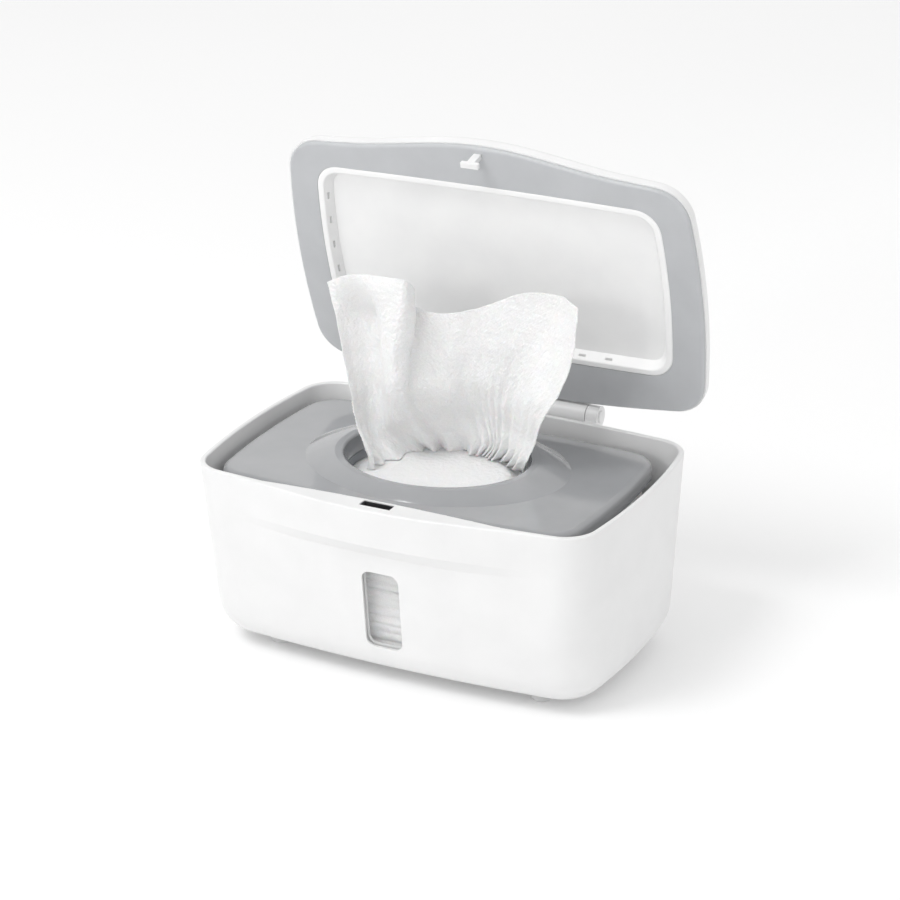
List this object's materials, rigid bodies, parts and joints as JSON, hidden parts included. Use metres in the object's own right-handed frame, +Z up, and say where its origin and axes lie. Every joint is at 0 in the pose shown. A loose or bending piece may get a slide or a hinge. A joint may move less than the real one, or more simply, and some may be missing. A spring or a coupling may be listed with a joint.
{
  "type": "wipes dispenser",
  "caption": "Countertop wipes dispenser: oblong tub with a front window, loose weighted plate with a dispensing hole, and a sprung hinged lid with a push latch.",
  "frame": {"origin": "middle of the overall box of the open dispenser, on the surface that it stands on", "axes": "+Z up, -Y towards the user (window and latch), +X to the user's right"},
  "size_m": [0.233, 0.1666, 0.2561],
  "materials": {
    "white_plastic": "satin moulded white",
    "liner_plastic": "fine matte white",
    "grey_seal": "smooth soft grey",
    "grey_plate": "polished grey",
    "dark_grey_tray": "fine matte grey",
    "clear_window": "clear moulded plastic",
    "dark_plastic": "black moulded",
    "jaw_plastic": "natural acetal",
    "steel": "zinc plated",
    "foot_rubber": "translucent white rubber",
    "wipes": "embossed non-woven cloth"
  },
  "bodies": {
    "tub": {"base_shell": "white_plastic", "window_pane": "clear_window", "window_frame": "white_plastic", "latch_housing": "dark_plastic", "latch_cover": "white_plastic", "latch_screws": "steel", "latch_spring": "steel", "hinge_pin": "steel", "hinge_cap_left": "white_plastic", "hinge_cap_right": "white_plastic", "foot_front_left": "foot_rubber", "foot_front_right": "foot_rubber", "foot_rear_left": "foot_rubber", "foot_rear_right": "foot_rubber", "wipe_stack": "wipes"},
    "lid": {"lid_shell": "white_plastic", "lid_seal": "grey_seal", "lid_liner": "liner_plastic", "lid_panel": "liner_plastic", "lid_striker": "white_plastic", "hinge_spring_left": "steel", "hinge_spring_right": "steel"},
    "plate": {"plate_cover": "grey_plate", "plate_tray": "dark_grey_tray", "plate_screws": "steel", "plate_weight_left": "steel", "plate_weight_right": "steel", "pulled_wipe": "wipes"},
    "latch_slider": {"latch_slider": "dark_plastic"},
    "jaw_left": {"latch_jaw_left": "jaw_plastic"},
    "jaw_right": {"latch_jaw_right": "jaw_plastic"}
  },
  "joints": [
    {"name": "lid_hinge", "type": "hinge", "parent": "tub", "child": "lid", "pos_m": [0, 0.07496, 0.1039], "axis": [1, 0, 0], "range_deg": [0, 76], "stiffness_Nm_per_rad": 0.08, "springref_deg": -57.3, "deforming": ["pulled_wipe"]},
    {"name": "plate_drop", "type": "slide", "parent": "tub", "child": "plate", "axis": [0, 0, -1], "range_m": [0, 0.05], "deforming": ["wipe_stack"]},
    {"name": "latch_press", "type": "slide", "parent": "tub", "child": "latch_slider", "axis": [0, 0, -1], "range_m": [0, 0.0025], "stiffness_N_per_m": 300, "springref_m": -0.004, "deforming": ["latch_spring"]},
    {"name": "jaw_left_pivot", "type": "hinge", "parent": "latch_slider", "child": "jaw_left", "pos_m": [-0.0064, -0.07484, 0.09015], "axis": [0, 1, 0], "range_deg": [0, 19]},
    {"name": "jaw_right_pivot", "type": "hinge", "parent": "latch_slider", "child": "jaw_right", "pos_m": [0.0064, -0.07484, 0.09015], "axis": [0, -1, 0], "range_deg": [0, 19]}
  ],
  "couplings": [
    {"joint": "jaw_left_pivot", "follows": "latch_press", "rad_per_m": 132.64},
    {"joint": "jaw_right_pivot", "follows": "latch_press", "rad_per_m": 132.64}
  ]
}
